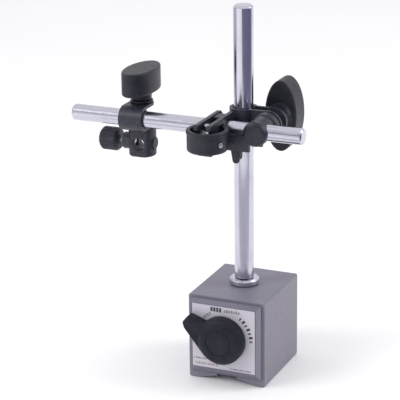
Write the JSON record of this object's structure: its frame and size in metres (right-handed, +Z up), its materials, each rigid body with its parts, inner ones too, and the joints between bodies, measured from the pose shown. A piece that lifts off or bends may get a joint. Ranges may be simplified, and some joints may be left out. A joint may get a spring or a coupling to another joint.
{
  "type": "magnetic base indicator stand",
  "caption": "Switchable magnetic base block with a chromed column, a level arm on a wing-knob clamp with fine adjustment, and a swivelling stem holder.",
  "frame": {"origin": "on the surface the stand rests on, under the middle of its outline seen from above", "axes": "+Z up along the column, +X right along the arm, -Y towards the switch and the name plate"},
  "size_m": [0.15, 0.083, 0.231],
  "materials": {
    "base_paint": "satin grey paint",
    "cover_metal": "satin",
    "plate_metal": "printed satin plate",
    "chrome": "polished",
    "steel": "turned",
    "brass": "machined",
    "magnet": "sintered",
    "black_metal": "satin black",
    "black_plastic": "moulded matte"
  },
  "bodies": {
    "base": {"pole_block_left": "base_paint", "pole_block_right": "base_paint", "spacer_bottom": "base_paint", "spacer_top": "base_paint", "front_cover": "cover_metal", "name_plate": "plate_metal", "rear_cover": "base_paint", "rear_cover_screw_1": "steel", "rear_cover_screw_2": "steel", "rear_cover_screw_3": "steel", "rear_cover_screw_4": "steel", "front_bush": "brass", "rear_bush": "brass", "stop_pin": "steel", "column_stud": "steel", "column_lock_nut": "chrome", "column": "chrome"},
    "switch": {"magnet_core": "magnet", "rotor_segment_upper": "steel", "rotor_segment_lower": "steel", "rotor_front_disc": "brass", "rotor_rear_disc": "brass", "switch_knob": "black_plastic", "knob_screw": "steel", "knob_cap": "black_plastic"},
    "clamp_slider": {"column_liner": "brass"},
    "main_clamp": {"column_band": "black_metal", "main_clamp_washer": "steel"},
    "arm_eye": {"arm_eye_bolt": "black_metal", "arm_saddle": "black_metal", "guide_tongue": "black_metal", "link_screw": "steel", "pivot_pin": "steel"},
    "main_knob": {"main_clamp_knob": "black_plastic", "main_clamp_nut": "brass"},
    "fine_knob": {"fine_adjust_drum": "black_plastic", "adjusting_screw": "steel", "drum_grip_pin": "steel"},
    "rocker": {"rocking_lever_left": "black_metal", "rocking_lever_right": "black_metal", "pressure_pad": "black_metal", "trunnion_nut": "steel"},
    "arm": {"arm": "chrome"},
    "holder_slider": {"holder_liner": "brass"},
    "holder": {"holder_band": "black_metal", "holder_bolt": "steel", "holder_washer": "steel"},
    "holder_knob": {"holder_knob": "black_plastic", "holder_nut": "brass"},
    "stem_head": {"stem_block": "black_metal", "stem_block_plug": "black_plastic"},
    "stem_knob": {"stem_clamp_screw": "steel", "stem_clamp_knob": "black_plastic"}
  },
  "joints": [
    {"name": "switch_turn", "type": "hinge", "parent": "base", "child": "switch", "pos_m": [0.029, -0.0095, 0.0308], "axis": [0, 1, 0], "range_deg": [0, 90]},
    {"name": "clamp_height", "type": "slide", "parent": "base", "child": "clamp_slider", "axis": [0, 0, 1], "range_m": [-0.06, 0.058]},
    {"name": "clamp_swing", "type": "hinge", "parent": "clamp_slider", "child": "main_clamp", "pos_m": [0.029, 0.0105, 0.16], "axis": [0, 0, 1], "continuous": true},
    {"name": "arm_tilt", "type": "hinge", "parent": "main_clamp", "child": "arm_eye", "pos_m": [0.0465, 0.0005, 0.16], "axis": [0, 1, 0], "range_deg": [-20, 20]},
    {"name": "main_knob_turn", "type": "hinge", "parent": "arm_eye", "child": "main_knob", "pos_m": [0.0465, 0.0305, 0.16], "axis": [0, 1, 0], "range_deg": [-180, 180]},
    {"name": "fine_knob_turn", "type": "hinge", "parent": "arm_eye", "child": "fine_knob", "pos_m": [0.022, -0.029, 0.158], "axis": [0, 0, 1], "range_deg": [-360, 360]},
    {"name": "rocker_tilt", "type": "hinge", "parent": "arm_eye", "child": "rocker", "pos_m": [0.022, -0.0015, 0.157], "axis": [1, 0, 0], "range_deg": [-1.5, 1.5]},
    {"name": "arm_slide", "type": "slide", "parent": "arm_eye", "child": "arm", "axis": [1, 0, 0], "range_m": [-0.018, 0.014]},
    {"name": "holder_slide", "type": "slide", "parent": "arm", "child": "holder_slider", "axis": [1, 0, 0], "range_m": [-0.028, 0.016]},
    {"name": "holder_turn", "type": "hinge", "parent": "holder_slider", "child": "holder", "pos_m": [-0.0345, -0.0095, 0.16], "axis": [1, 0, 0], "range_deg": [-90, 90]},
    {"name": "holder_knob_turn", "type": "hinge", "parent": "holder", "child": "holder_knob", "pos_m": [-0.0345, 0.0015, 0.18], "axis": [0, 0, 1], "range_deg": [-180, 180]},
    {"name": "stem_swivel", "type": "hinge", "parent": "holder", "child": "stem_head", "pos_m": [-0.0345, 0.0015, 0.142], "axis": [0, 0, 1], "range_deg": [-120, 120]},
    {"name": "stem_knob_turn", "type": "hinge", "parent": "stem_head", "child": "stem_knob", "pos_m": [-0.057, 0.0015, 0.142], "axis": [1, 0, 0], "range_deg": [-180, 180]}
  ],
  "couplings": [
    {"joint": "rocker_tilt", "follows": "fine_knob_turn", "ratio": 0.004}
  ]
}
